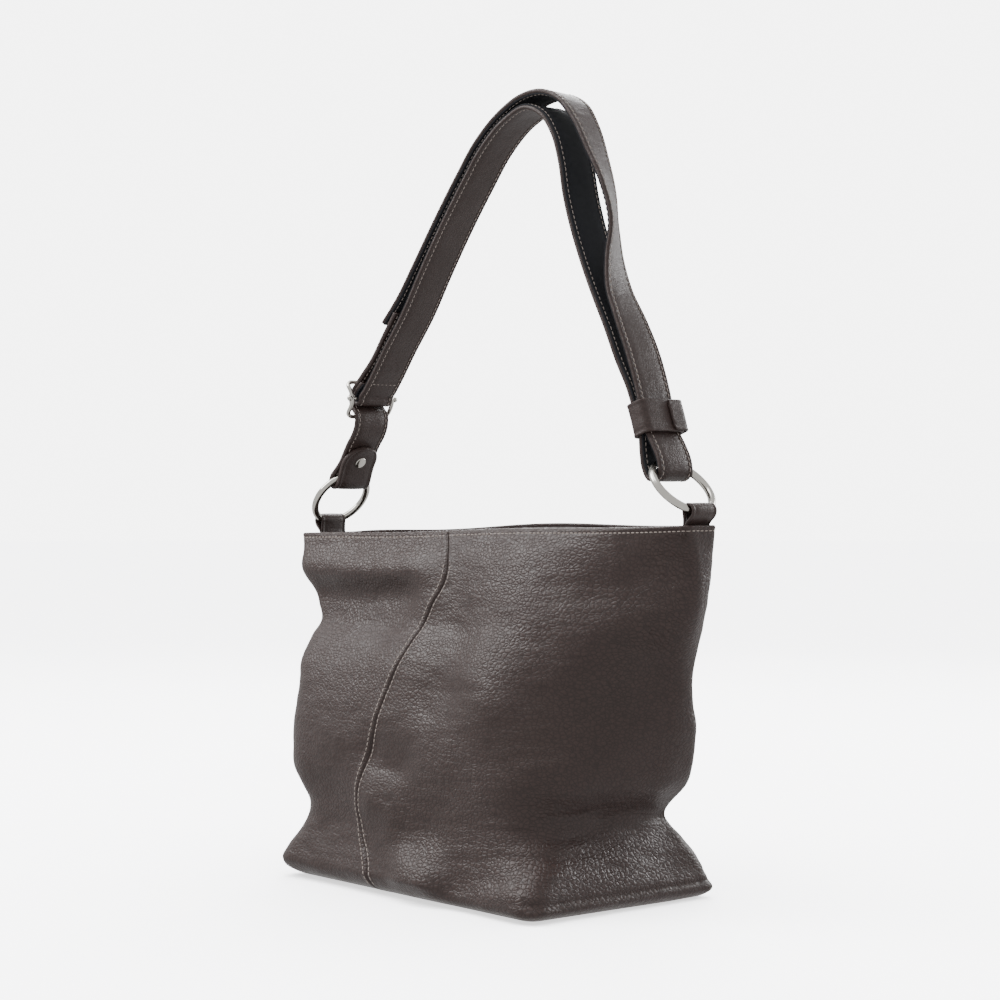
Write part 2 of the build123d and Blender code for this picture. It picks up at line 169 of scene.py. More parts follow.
class Tree:
    """A material's node tree, with short calls to add nodes and wire them."""

    def __init__(self, name):
        self.material = bpy.data.materials.new(name)
        self.material.use_nodes = True
        self.nodes = self.material.node_tree.nodes
        self.links = self.material.node_tree.links
        self.shader = self.nodes["Principled BSDF"]
        self.place = self.nodes.new("ShaderNodeTexCoord").outputs["Object"]

    def put(self, socket, value):
        """A socket takes a wire from another node, or a plain value."""
        if isinstance(value, bpy.types.NodeSocket):
            self.links.new(value, socket)
        elif value is not None:
            socket.default_value = value

    def add(self, kind, inputs, **settings):
        """A new node. Its inputs are given by name or number."""
        node = self.nodes.new("ShaderNode" + kind)
        for name, value in settings.items():
            setattr(node, name, value)
        for socket, value in inputs.items():
            self.put(node.inputs[socket], value)
        return node

    def finish(self, **values):
        for name, value in values.items():
            self.put(self.shader.inputs[name.replace("_", " ")], value)
        return self.material

    def moved(self, scale):
        return self.scaled(self.place, scale)

    def scaled(self, place, scale):
        return self.add("VectorMath", {0: place, 1: scale}, operation="MULTIPLY").outputs[0]

    def noise(self, scale, detail=4, at=None, rough=0.55, output="Fac"):
        inputs = {"Scale": scale, "Detail": detail, "Roughness": rough, "Vector": at or self.place}
        return self.add("TexNoise", inputs).outputs[output]

    def cells(self, scale, at):
        """Distance from the edges between cells."""
        inputs = {"Scale": scale, "Vector": at}
        return self.add("TexVoronoi", inputs, feature="DISTANCE_TO_EDGE").outputs["Distance"]

    def math(self, operation, first, second=0.0):
        return self.add("Math", {0: first, 1: second}, operation=operation).outputs[0]

    def span(self, value, low, high, to_low=0.0, to_high=1.0):
        """Value, from low and high to to_low and to_high, and held within them."""
        inputs = {"Value": value, "From Min": low, "From Max": high, "To Min": to_low,
                  "To Max": to_high}
        return self.add("MapRange", inputs).outputs["Result"]

    def colour(self, share, first, second):
        first, second = ((*c, 1) if isinstance(c, tuple) else c for c in (first, second))
        return self.add("Mix", {"Factor": share, 6: first, 7: second}, data_type="RGBA").outputs[2]

    def warp(self, scale, reach):
        """Object coordinates pushed about by a soft noise."""
        inputs = {0: self.noise(scale, 2, output="Color"), 1: (reach, reach, reach), 2: self.place}
        return self.add("VectorMath", inputs, operation="MULTIPLY_ADD").outputs[0]

    def bump(self, height, strength, distance, under=None):
        inputs = {"Strength": strength, "Distance": distance, "Height": height, "Normal": under}
        return self.add("Bump", inputs).outputs["Normal"]


LEATHER_COLOUR = (0.0360, 0.0215, 0.0187)
# the dark tone is used twice: as painted shade in the pebbles' valleys, and as the leather's random
# mottle
LEATHER_DARK = (0.0115, 0.0065, 0.0055)
LEATHER_LIGHT = (0.0450, 0.0280, 0.0248)


def make_leather(name, pebble, depth, roughness):
    """Pebbled leather. Pebble is the size of the grain, in millimetres."""
    tree = Tree(name)
    # the pebbles are wider than they are high
    at = tree.scaled(tree.warp(110, 0.0024), (1, 1, 1.4))
    grain, fine = (tree.math("POWER", tree.span(tree.cells(size / (pebble * MM), at), 0.0, 0.34), 0.6)
                   for size in (1, 1.8))
    pebbles = tree.math("ADD", tree.math("MULTIPLY", grain, 0.88), tree.math("MULTIPLY", fine, 0.12))
    patches = tree.noise(13, 3)
    # the grain is fuller in some places than in others
    fullness = tree.span(patches, 0.35, 0.62, 0.5, 1.0)
    height = tree.math("MULTIPLY", pebbles, fullness)
    wrinkles = tree.noise(52, 4, tree.moved((1, 1, 3.2)), 0.5)
    creases = tree.noise(90, 3, rough=0.5)
    normal = tree.bump(wrinkles, 0.5, 0.0016)
    normal = tree.bump(creases, 0.35, 0.0011, normal)
    normal = tree.bump(height, depth, 0.00034, normal)
    # painted shade: the colour darkens towards LEATHER_DARK in the valleys between the pebbles
    painted_valley_shade = tree.span(pebbles, 0.15, 0.75, 0.55, 0.0)
    tone = tree.colour(tree.span(patches, 0.3, 0.7), LEATHER_COLOUR, LEATHER_LIGHT)
    tone = tree.colour(painted_valley_shade, tone, LEATHER_DARK)
    mottle = tree.noise(260, 3)
    tone = tree.colour(tree.span(mottle, 0.35, 0.75, 0.0, 0.18), tone, LEATHER_DARK)
    gloss = tree.span(tree.noise(45, 3), 0.3, 0.7, roughness - 0.04, roughness + 0.08)
    return tree.finish(Base_Color=tone, Roughness=gloss, Normal=normal, Specular_IOR_Level=0.31)


def make_fabric(name, colour, dark, pitch, depth):
    """Plain woven cloth, whose threads are pitch millimetres apart."""
    tree = Tree(name)
    turn = 2 * math.pi / (pitch * MM)
    split = tree.add("SeparateXYZ", {0: tree.moved((turn, turn, turn))})
    across = tree.math("SINE", tree.math("ADD", split.outputs[0], split.outputs[1]))
    down = tree.math("SINE", split.outputs[2])
    weave = tree.math("MULTIPLY", across, down)
    slub = tree.noise(300, 4)
    normal = tree.bump(tree.span(weave, -1, 1), depth, 0.0002, tree.bump(slub, 0.2, 0.0004))
    tone = tree.colour(tree.span(weave, -1, 1, 0, 0.6), colour, dark)
    tone = tree.colour(tree.span(slub, 0.3, 0.8, 0, 0.4), tone, dark)
    return tree.finish(Base_Color=tone, Roughness=0.85, Normal=normal, Specular_IOR_Level=0.2)


def make_metal(name, colour, roughness, scratch):
    tree = Tree(name)
    smear = tree.noise(220, 5)
    marks = tree.noise(60, 6, tree.moved((1, 14, 1)), 0.7)
    gloss = tree.span(tree.math("MULTIPLY", smear, marks), 0.12, 0.45, roughness, roughness + 0.14)
    tone = tree.colour(tree.span(smear, 0.4, 0.8, 0, 0.25), colour, tuple(0.7 * c for c in colour))
    normal = tree.bump(marks, scratch, 0.00008)
    return tree.finish(Base_Color=tone, Metallic=1.0, Roughness=gloss, Normal=normal)


def make_thread():
    tree = Tree("thread")
    twist = tree.noise(2400, 2)
    tone = tree.colour(twist, (0.36, 0.31, 0.28), (0.24, 0.20, 0.18))
    return tree.finish(Base_Color=tone, Roughness=0.7, Normal=tree.bump(twist, 0.3, 0.0001))


def make_floor_material():
    tree = Tree("studio_floor")
    paper = tree.noise(900, 3)
    tone = tree.colour(paper, (0.83, 0.83, 0.85), (0.80, 0.80, 0.82))
    # the floor glows, to the camera alone, by what its light leaves short of the backdrop
    glow = SEEN_WHITE - FLOOR_PALE * (FILL + FLOOR_LIGHT / math.pi)
    seen_strength(tree.material.node_tree, 0, glow, tree.shader.inputs["Emission Strength"])
    return tree.finish(Base_Color=tone, Emission_Color=(1, 1, 1, 1), Roughness=0.7,
                       Specular_IOR_Level=0.2)


leather = make_leather("pebbled_leather", 3.3, 1.0, 0.40)
strap_leather = make_leather("strap_leather", 1.8, 0.55, 0.42)
facing_leather = make_leather("facing_leather", 1.5, 0.4, 0.5)
backing_cloth = make_fabric("backing_cloth", (0.022, 0.023, 0.027), (0.006, 0.006, 0.008), 0.9, 0.7)
lining_cloth = make_fabric("lining_cloth", (0.20, 0.175, 0.155), (0.11, 0.095, 0.085), 0.8, 0.45)
tape_cloth = make_fabric("tape_cloth", (0.05, 0.045, 0.042), (0.02, 0.018, 0.017), 0.7, 0.6)
nickel = make_metal("nickel", (0.52, 0.50, 0.46), 0.14, 0.12)
zip_metal = make_metal("zip_metal", (0.60, 0.57, 0.52), 0.24, 0.2)
thread = make_thread()

# ---- curves, meshes


def smooth_between(rows, at):
    """Values at places between rows of (place, value, ...), on a smooth curve."""
    table = np.array(rows, float)
    place, value = table[:, 0], table[:, 1:]
    slope = np.gradient(value, place, axis=0)
    at = np.atleast_1d(np.asarray(at, float))
    index = np.clip(np.searchsorted(place, at) - 1, 0, len(place) - 2)
    length = (place[index + 1] - place[index])[:, None]
    t = np.clip((at - place[index])[:, None] / length, 0, 1)
    start = value[index] * (2 * t**3 - 3 * t**2 + 1) + slope[index] * length * (t**3 - 2 * t**2 + t)
    end = value[index + 1] * (3 * t**2 - 2 * t**3) + slope[index + 1] * length * (t**3 - t**2)
    return start + end


def lengths(points):
    """Distance along a line of points, from its first to each one."""
    steps = np.linalg.norm(np.diff(points, axis=0), axis=1)
    return np.concatenate([[0], np.cumsum(steps)])


def unit(vectors):
    return vectors / np.linalg.norm(vectors, axis=-1, keepdims=True)


def smooth_path(points, step):
    """Points about a step apart on a smooth curve through the given points."""
    table = np.array(points, float)
    along = lengths(table[:, :2])
    places = np.linspace(0, along[-1], int(along[-1] / step) + 1)
    return smooth_between(np.column_stack([along, table]), places)


def new_object(name, vertices, faces, material, body=None, replaces=()):
    mesh = bpy.data.meshes.new(name)
    mesh.from_pydata((np.asarray(vertices, float) * MM).tolist(), [], faces)
    mesh.materials.append(material)
    mesh.polygons.foreach_set("use_smooth", [True] * len(mesh.polygons))
    mesh.update()
    piece = bpy.data.objects.new(name, mesh)
    bpy.context.scene.collection.objects.link(piece)
    if body:
        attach(piece, body)
    if replaces:
        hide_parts(*replaces)
    return piece


def grid_faces(rows, columns, closed=False, first=0, ring=False):
    """Quads between rows of points. Closed joins the last column to the first,
    and ring joins the last row to the first."""
    faces = []
    for row in range(rows if ring else rows - 1):
        here, below = first + row * columns, first + (row + 1) % rows * columns
        for column in range(columns if closed else columns - 1):
            beside = (column + 1) % columns
            faces.append((here + column, below + column, below + beside, here + beside))
    return faces


def tube_faces(rows, columns, first=0, ring=False):
    """Faces of a tube, that is a ring or has a cap on each end."""
    faces = grid_faces(rows, columns, True, first, ring)
    if not ring:
        for start in (first, first + (rows - 1) * columns):
            faces.append(tuple(range(start, start + columns)))
    return faces


def tube_object(name, sections, material, body, replaces, ring=False):
    """A closed solid through a row of sections, each a loop of points."""
    sections = np.asarray(sections, float)
    faces = tube_faces(*sections.shape[:2], ring=ring)
    piece = new_object(name, sections.reshape(-1, 3), faces, material, body, replaces)
    outward(piece)
    return piece


def outward(piece):
    """Turn the faces of a closed mesh to its outside."""
    made = bmesh.new()
    made.from_mesh(piece.data)
    bmesh.ops.recalc_face_normals(made, faces=made.faces)
    made.to_mesh(piece.data)
    made.free()


def sheet(name, rows, material, node, thickness, smooth=True):
    """A part of the wall through rows of points, that thickens inwards."""
    piece = new_object(name, rows.reshape(-1, 3), grid_faces(*rows.shape[:2]), material, "bag",
                       (node,))
    modifier = piece.modifiers.new("thickness", "SOLIDIFY")
    modifier.thickness = thickness * MM
    modifier.offset = -1
    modifier.use_even_offset = False
    if smooth:
        modifier = piece.modifiers.new("subdivide", "SUBSURF")
        modifier.levels = modifier.render_levels = 1
    return piece


STITCH_SIDES = 6
STITCH_WOBBLE = 0.12
# Sections of a stitch: share of its length, and of its radius
stitch_rings = [(0.0, 0.35), (0.14, 0.85), (0.5, 1.0), (0.86, 0.85), (1.0, 0.35)]
rng = np.random.default_rng(7)


def blend_at(place, along, values):
    """Values at one place along a line, between its points."""
    return np.array([np.interp(place, along, column) for column in values.T])


def stitches(name, runs, body, length=2.5, gap=1.0, radius=0.42):
    """Rows of thread. Each run is a line of points and the surface's normals."""
    vertices, faces = [], []
    angles = np.linspace(0, 2 * math.pi, STITCH_SIDES, endpoint=False)
    for points, normals in runs:
        points, normals = np.asarray(points, float), np.asarray(normals, float)
        along = lengths(points)
        for start in np.arange(gap, along[-1] - length, length + gap):
            wobble = rng.uniform(-STITCH_WOBBLE, STITCH_WOBBLE, 2)
            first = blend_at(start + wobble[0], along, points)
            last = blend_at(start + length + wobble[1], along, points)
            up = unit(blend_at(start + length / 2, along, normals))
            side = np.cross(unit(last - first), up)
            faces += tube_faces(len(stitch_rings), STITCH_SIDES, len(vertices))
            for share, wide in stitch_rings:
                lift = math.sin(share * math.pi) * 0.5 - 0.15 - 0.1 * radius
                centre = first + (last - first) * share + up * (radius * lift)
                for angle in angles:
                    out = side * math.cos(angle) + up * math.sin(angle) * 0.8
                    vertices.append(centre + out * radius * wide)
    outward(new_object(name, vertices, faces, thread, body=body))


# ---- the bag's form

RIM_NOMINAL = 243  # the tables below are for walls of this height

# Each corner of the bag's plan: the columns in its bend, which way an inset
# moves it, and its height, X, Y and softness in some places. Softness is how
# far from the corner its bend begins.
corners = {
    "front_right": (14, (-1, 1), [
        (0, 121, -81, 13), (4, 125, -86, 15), (12, 126, -87, 19), (24, 121, -82, 24),
        (40, 111, -75, 32), (60, 104, -71, 38), (80, 104, -69, 42), (95, 104, -67, 44),
        (130, 98, -60, 46), (160, 92, -53, 48), (190, 84, -44, 50), (221, 76, -31, 50),
        (243, 66, -18, 45),
    ]),
    "right_crease": (6, (-1, None), [
        (0, 128, 40, 12), (12, 130, 42, 12), (30, 123, 40, 12), (55, 117, 34, 12),
        (80, 132, 34, 12), (107, 141, 31, 12), (140, 150, 24, 10), (161, 159, 19, 8),
        (178, 168, 14, 7), (198, 177, 9, 6), (221, 184, 0, 5), (243, 190, -13, 4),
    ]),
    "back_right": (10, (-1, -1), [
        (0, 127, 73, 8), (4, 130, 77, 9), (15, 129, 75, 10), (24, 127, 71, 11), (34, 123, 65, 13),
        (45, 118, 58, 15), (55, 117, 54, 16), (62, 121, 54, 17), (70, 126, 55, 18),
        (91, 136, 52, 18), (107, 140, 50, 18), (140, 147, 41, 16), (178, 162, 33, 13),
        (198, 172, 28, 11), (221, 181, 23, 9), (243, 191, 14, 5),
    ]),
    "back_left": (12, (1, -1), [
        (0, -121, 81, 14), (4, -125, 85, 16), (12, -128, 86, 19), (24, -127, 82, 22),
        (40, -123, 74, 27), (58, -122, 66, 30), (76, -132, 66, 32), (95, -137, 64, 32),
        (130, -146, 56, 30), (160, -156, 47, 24), (182, -158, 40, 18), (205, -172, 39, 18),
        (223, -179, 34, 16), (243, -188, 28, 9),
    ]),
    "front_left": (14, (1, 1), [
        (0, -128, -74, 15), (4, -134, -80, 16), (11, -139, -86, 18), (20, -137, -84, 19),
        (32, -132, -79, 23), (43, -129, -75, 26), (54, -129, -74, 28), (64, -136, -75, 29),
        (75, -143, -76, 30), (95, -148, -73, 30), (130, -151, -65, 28), (153, -157, -57, 24),
        (168, -158, -49, 21), (180, -158, -41, 18), (191, -166, -41, 18), (205, -173, -40, 18),
        (223, -179, -35, 16), (236, -185, -30, 11), (243, -188, -28, 9),
    ]),
}
seam_line = [
    (0, -28), (19, -35), (36, -46), (55, -52), (75, -51.5), (99, -46), (134, -38), (167, -28),
    (190, -21), (213, -13), (230, -19), (243, -27),
]

# Columns of the wall's grid along each side, and the end of it with a seam
sides = [(40, "start"), (26, None), (8, None), (46, "end"), (30, "start"), (20, None), (32, "end")]
BEND_ROOM = 0.46  # share of a side that one corner's bend may take
SEAM_POWER = 1.7  # columns crowd towards the seam
CREASE_FROM, CREASE_TO = 140, 220  # here the crease in the right end becomes its front corner


def corner_bend(corner, before, after, softness, count):
    """Points round a soft corner of the plan, from one side to the next."""
    to_before, to_after = before - corner, after - corner
    room = BEND_ROOM * min(np.linalg.norm(to_before), np.linalg.norm(to_after))
    start, end = (corner + unit(way) * min(softness, room) for way in (to_before, to_after))
    t = np.linspace(0, 1, count + 1)[:, None]
    return start * (1 - t) ** 2 + corner * 2 * t * (1 - t) + end * t**2


def side_points(start, end, count, crowd=None):
    """Points along a side, without its ends. Crowd names the end with the seam."""
    t = np.linspace(0, 1, count + 1)[1:-1]
    if crowd == "start":
        t = t**SEAM_POWER
    if crowd == "end":
        t = 1 - (1 - t) ** SEAM_POWER
    return start + (end - start) * t[:, None]


def seam_x(height):
    return smooth_between(seam_line, height)[:, 0]


def plan(height, inset):
    """The plan's loop of points at one height, with the back seam's column number.
    It starts at the front seam and runs to the right, round the back, and back."""
    crease_in = min(max((height - CREASE_FROM) / (CREASE_TO - CREASE_FROM), 0), 1)
    names = list(corners)
    corner, soft, bends = {}, {}, {}
    for name, (_, (in_x, in_y), rows) in corners.items():
        x, y, softness = smooth_between(rows, height)[0]
        in_y = crease_in if in_y is None else in_y
        corner[name] = np.array([x + inset * in_x, y + inset * in_y])
        soft[name] = max(softness - inset, 1.5)
    for index, name in enumerate(names):
        before, after = corner[names[index - 1]], corner[names[(index + 1) % len(names)]]
        bends[name] = corner_bend(corner[name], before, after, soft[name], corners[name][0])
    x = seam_x(height)[0]
    seams = []
    for start, end in (("front_left", "front_right"), ("back_right", "back_left")):
        first, last = bends[start][-1], bends[end][0]
        seams.append(first + (last - first) * (x - first[0]) / (last[0] - first[0]))
    front, back = ([seam] for seam in seams)
    turns = [bends[name] for name in names]
    stops = [front, *turns[:3], back, *turns[3:], front]
    parts = []
    for (count, crowd), before, after in zip(sides, stops, stops[1:]):
        parts += [before, side_points(before[-1], after[0], count, crowd)]
    return np.vstack(parts), sum(len(part) for part in parts[:8])


def rim_height(x, y):
    """Height of the rim, which the back carries a little higher."""
    share = (x + 188) / 378
    wave = 1.1 * np.sin(x / 34 + 0.6) * np.where(y < 0, 0.5, 1)
    back = 2.6 * np.sin(np.pi * np.clip(share, 0, 1)) ** 0.7
    return 238 + 9.5 * share + wave + np.where(y > 0, back, 0)


def distance_to_line(points, line):
    """Distance of each point from a broken line in space."""
    best = np.full(len(points), 1e9)
    for start, end in zip(line[:-1], line[1:]):
        start, end = np.array(start, float), np.array(end, float)
        step = end - start
        t = np.clip((points - start) @ step / max(step @ step, 1e-9), 0, 1)
        best = np.minimum(best, np.linalg.norm(points - start - t[:, None] * step, axis=1))
    return best


# Swells and folds of the soft wall: how far out, how wide, and along what line
folds = [
    (7.0, 62, [(-20, -75, 118), (30, -75, 100)]),
    (8.0, 20, [(-36, -80, 56), (-18, -82, 50)]), (-4.0, 15, [(-42, -76, 92), (-14, -76, 87)]),
    (7.0, 17, [(8, -86, 21), (26, -86, 17)]),
    (6.0, 28, [(52, -60, 158), (62, -62, 140)]),
    (4.0, 40, [(-120, -70, 118), (-100, -70, 100)]),
    (4.6, 14, [(-182, -36, 214), (-120, -34, 213), (-46, -30, 214)]),
    (-7.0, 13, [(-176, -42, 197), (-110, -42, 196), (-50, -38, 198)]),
    (-3.0, 20, [(-140, -46, 184), (-70, -46, 182)]),
    (-3.0, 22, [(0, -40, 205), (20, -44, 160), (8, -56, 130)]),
    (-5.5, 19, [(126, -82, 54), (92, -90, 36), (58, -92, 20)]),
    (-4.0, 5, [(119, -93, 2), (126, -88, 8)]),
    (-4.5, 15, [(120, 45, 58), (118, 0, 57), (116, -40, 56), (112, -66, 54)]),
    (3.5, 16, [(122, 20, 76), (120, -40, 78)]),
    (-3.5, 24, [(150, 0, 150), (128, -40, 120)]),
    (3.5, 26, [(140, -10, 104), (122, -44, 92)]),
    (3.0, 26, [(160, -6, 186), (134, -30, 172)]),
    (-3.0, 16, [(165, -16, 214), (120, -26, 205)]),
    (-3.5, 13, [(-132, -60, 54), (-128, -20, 54), (-126, 30, 56), (-124, 60, 57)]),
    (3.5, 18, [(-140, -30, 92), (-138, 30, 94)]),
    (-3.5, 16, [(-168, -20, 186), (-160, 20, 184)]),
    (6.0, 60, [(-40, 72, 96), (60, 62, 92)]),
    (-4.0, 18, [(110, 50, 60), (60, 66, 46), (30, 80, 22)]),
    (-3.0, 16, [(-120, 62, 58), (-80, 74, 44), (-50, 84, 20)]),
    (3.0, 30, [(-100, 56, 130), (-60, 52, 150)]),
    (-2.5, 16, [(-170, 36, 198), (-110, 38, 196), (-70, 36, 198)]),
]

CORNER_SEAM = 11.5  # height of the boxed corners' seam above the floor
STITCH_DROP = 3.6  # rim stitching below the rim
RIM_ROLL = 1.7  # radius of the turned rim


def wall_relief(points, seam_distance, end_share, drop):
    """How far each point of the leather stands out from its smooth form."""
    out = np.zeros(len(points))
    for depth, width, line in folds:
        out += depth * np.exp(-((distance_to_line(points, line) / width) ** 2))
    for index, point in enumerate(points):
        x, y, z = point
        out[index] += 1.5 * noise.noise(Vector((x * 0.022, y * 0.022 + 3.1, z * 0.03)))
        out[index] += 0.55 * noise.noise(Vector((x * 0.06, y * 0.06 + 7.7, z * 0.09)))
        # fine level wrinkles, most of all low down on the right
        low_right = math.exp(-(((x - 112) / 45) ** 2) - ((z - 38) / 30) ** 2)
        level = noise.noise(Vector((x * 0.035, y * 0.035 + 1.3, z * 0.2)))
        out[index] += (0.25 + 1.25 * low_right) * level
    # the walls are held flat just below the rim, and where they meet the floor
    hold = 1 - 0.85 * np.exp(-((drop / 14) ** 2))
    out *= hold * np.clip(points[:, 2] / 14, 0.1, 1)
    out += 0.55 * np.exp(-((seam_distance / 5.4) ** 4)) - 1.3 * np.exp(-((seam_distance / 1.1) ** 2))
    out -= 0.3 * np.exp(-(((drop - STITCH_DROP) / 1.0) ** 2))
    groove = np.exp(-(((points[:, 2] - CORNER_SEAM) / 1.9) ** 2))
    roll = np.exp(-(((points[:, 2] - CORNER_SEAM + 4.5) / 3.4) ** 2))
    out += end_share * (1.0 * roll - 1.1 * groove)
    return out


def wall_rows(turned):
    """Rows of the wall, from the turned rim down: drop below the rim, or height
    above the floor in the lower part, and inset."""
    rows = []
    if turned:
        rows += [(9.0, 2 * RIM_ROLL), (5.0, 2 * RIM_ROLL), (2.4, 2 * RIM_ROLL)]
        for step in range(7):
            angle = math.pi * step / 6
            rows.append((RIM_ROLL * (1 - math.sin(angle)), RIM_ROLL * (1 + math.cos(angle))))
    rows += [(drop, 0) for drop in (2.5, 3.1, STITCH_DROP, 4.2, 5.0, 6.2, 7.8)]
    rows += [(drop, 0) for drop in np.arange(10, 222, 2.4)]
    return rows


# Height above the floor and inset, where the wall turns under
low_rows = [(height, 0) for height in (18.5, 16.8, 15.2, 13.9, 12.9, 12.2, 11.5, 10.8, 10.1, 9.1)]
low_rows += [(7.8, 0), (6.4, 0)]
low_rows += [(5.0, 0.2), (3.6, 0.8), (2.3, 1.8), (1.2, 3.2), (0.5, 5.0), (0.2, 7.5)]
LOW_START = 20


def wall_grid(inset, turned):
    """Points of a wall, row by row, drawn in by inset, and the back seam's column."""
    rim_plan, back_column = plan(RIM_NOMINAL, 0)
    rim = rim_height(rim_plan[:, 0], rim_plan[:, 1])
    grid = []
    rows = [("drop", *row) for row in wall_rows(turned)] + [("height", *row) for row in low_rows]
    for kind, amount, row_inset in rows:
        if kind == "drop":
            share = 1 - amount / RIM_NOMINAL
            # rows crowd together evenly between the rim and the low rows
            z = np.interp(share, [LOW_START / RIM_NOMINAL, 1], [0, 1]) * (rim - LOW_START) + LOW_START
            z = np.where(amount < 12, rim - amount, z)
            nominal = share * RIM_NOMINAL
        else:
            z = np.full(len(rim), float(amount))
            nominal = amount
        outline, _ = plan(min(nominal, RIM_NOMINAL), inset + row_inset)
        grid.append(np.column_stack([outline, z]))
    grid = np.array(grid)
    drop = rim[None, :] - grid[:, :, 2]
    return grid, back_column, drop


def plan_normals(grid):
    """Level outward directions of the loops of points."""
    ahead = np.roll(grid, -1, axis=1)[:, :, :2] - np.roll(grid, 1, axis=1)[:, :, :2]
    normals = np.stack([ahead[:, :, 1], -ahead[:, :, 0], np.zeros(ahead.shape[:2])], axis=2)
    return unit(normals)


def seam_distances(grid, back_column):
    """Distance along the wall, from each point to the nearer seam in its row."""
    steps = np.linalg.norm(np.roll(grid, -1, axis=1) - grid, axis=2)
    along = np.concatenate([np.zeros((len(grid), 1)), np.cumsum(steps, axis=1)[:, :-1]], axis=1)
    total = steps.sum(axis=1, keepdims=True)
    back = along[:, back_column : back_column + 1]
    return np.minimum(np.minimum(along, total - along), np.abs(along - back))


def end_shares(grid):
    """1 on the two ends of the bag and 0 on its front and back, low down."""
    normals = plan_normals(grid)
    return np.clip((np.abs(normals[:, :, 0]) - 0.35) / 0.4, 0, 1)


def soft_wall(inset=0.0, turned=False):
    grid, back_column, drop = wall_grid(inset, turned)
    normals = plan_normals(grid)
    relief = wall_relief(
        grid.reshape(-1, 3),
        seam_distances(grid, back_column).ravel(),
        end_shares(grid).ravel(),
        drop.ravel(),
    )
    if inset:
        relief = np.minimum(relief, 2.0)
    return grid + normals * relief.reshape(drop.shape)[:, :, None], back_column, drop


def base_rows(edge, count):
    """Rows that carry a wall's lower edge in to the line between its seams."""
    along = lengths(edge)
    share = (along / along[-1])[:, None]
    goal = edge[0] + (edge[-1] - edge[0]) * share
    rows = []
    for step in range(1, count + 1):
        t = step / count
        row = edge * (1 - t) + goal * t
        row[:, 2] = 0.2 + 0.5 * math.sin(math.pi * min(t * 1.2, 1))
        rows.append(row)
    return rows


def make_panels():
    grid, back_column, _ = soft_wall(turned=True)
    panels = []
    right = grid[:, : back_column + 1]
    left = np.concatenate([grid[:, back_column:], grid[:, :1]], axis=1)
    for name, part in (("right_panel", right), ("left_panel", left)):
        rows = np.concatenate([part, np.array(base_rows(part[-1], 8))])
        panels.append(sheet("leather_" + name, rows, leather, name, 1.4))
    row = [amount for amount, _ in wall_rows(True)].index(STITCH_DROP)
    rim_run = [np.vstack([rows[row], rows[row][:1]]) for rows in (grid, plan_normals(grid))]
    stitches("rim_stitches", [rim_run], "bag", length=2.7)
    return panels


def surface_tree(objects):
    """All the given objects' surfaces, in millimetres, for casting rays."""
    vertices, faces = [], []
    for piece in objects:
        base = len(vertices)
        vertices += [tuple(v.co / MM) for v in piece.data.vertices]
        faces += [tuple(base + i for i in f.vertices) for f in piece.data.polygons]
    return BVHTree.FromPolygons(vertices, faces)


def cast_run(tree, points, direction):
    """Where rays from the points in one direction meet the surface."""
    places, normals = [], []
    way = Vector(direction)
    for point in points:
        hit, normal, _, _ = tree.ray_cast(Vector(point), way)
        if hit is None:
            continue
        if normal.dot(way) > 0:
            normal = -normal
        places.append(tuple(hit))
        normals.append(tuple(normal))
    return places, normals


SEAM_STITCH = 3.0  # stitching each side of the curved seam


def make_seam_stitches(panels):
    tree = surface_tree(panels)
    runs = []
    for front in (-1, 1):
        for side in (-1, 1):
            heights = np.arange(6, 221, 1.5)
            lean = np.gradient(seam_x(heights), heights)
            across = SEAM_STITCH * side / np.cos(np.arctan(lean))
            points = [(x, front * 200, z) for x, z in zip(seam_x(heights) + across, heights)]
            runs.append(cast_run(tree, points, (0, -front, 0)))
    stitches("seam_stitches", runs, "bag")


FACING_DEPTH = 30
LINING_LOW = 2.6  # height of the lining on the base


def make_inside():
    """Leather facings below the rim, and the cloth lining under them."""
    front = plan(RIM_NOMINAL, 0)[0][:, 1] <= 0
    halves = [("front", ordered_columns(front)), ("back", ordered_columns(~front))]
    grid, _, drop = soft_wall(inset=3.9)
    rows = [i for i in range(len(grid)) if drop[i].mean() < FACING_DEPTH]
    inward = -plan_normals(grid)[rows[-3]]
    for side, columns in halves:
        part, normals = grid[rows][:, columns], inward[columns]
        name = "facing_" + side
        sheet("leather_" + name, part, facing_leather, name, 1.0, smooth=False)
        stitches("stitches_" + name, [(part[-3] + normals, normals)], "bag")
    grid, _, drop = soft_wall(inset=4.6)
    rows = [i for i in range(len(grid)) if drop[i].mean() > FACING_DEPTH - 5]
    for side, columns in halves:
        part = grid[rows][:, columns]
        part[:, :, 2] = np.maximum(part[:, :, 2], LINING_LOW)
        part = np.concatenate([part, np.array(lining_floor(part[-1], 8))])
        name = "lining_" + side
        sheet("cloth_" + name, part, lining_cloth, name, 0.7)


def ordered_columns(mask):
    """Column numbers of one run of True, in order round the loop."""
    count = len(mask)
    start = [i for i in range(count) if mask[i] and not mask[i - 1]][0]
    columns = []
    for step in range(count):
        column = (start + step) % count
        if not mask[column]:
            break
        columns.append(column)
    columns.append((columns[-1] + 1) % count)
    return columns


def lining_floor(edge, count):
    """Rows that carry a lining's lower edge in to the bag's middle."""
    rows = []
    for step in range(1, count + 1):
        t = step / count
        row = edge.copy()
        row[:, 1] = edge[:, 1] * (1 - t)
        row[:, 2] = LINING_LOW + 0.9 * np.sin(np.pi * t) * np.sin(edge[:, 0] / 17)
        rows.append(row)
    return rows


# ---- strips


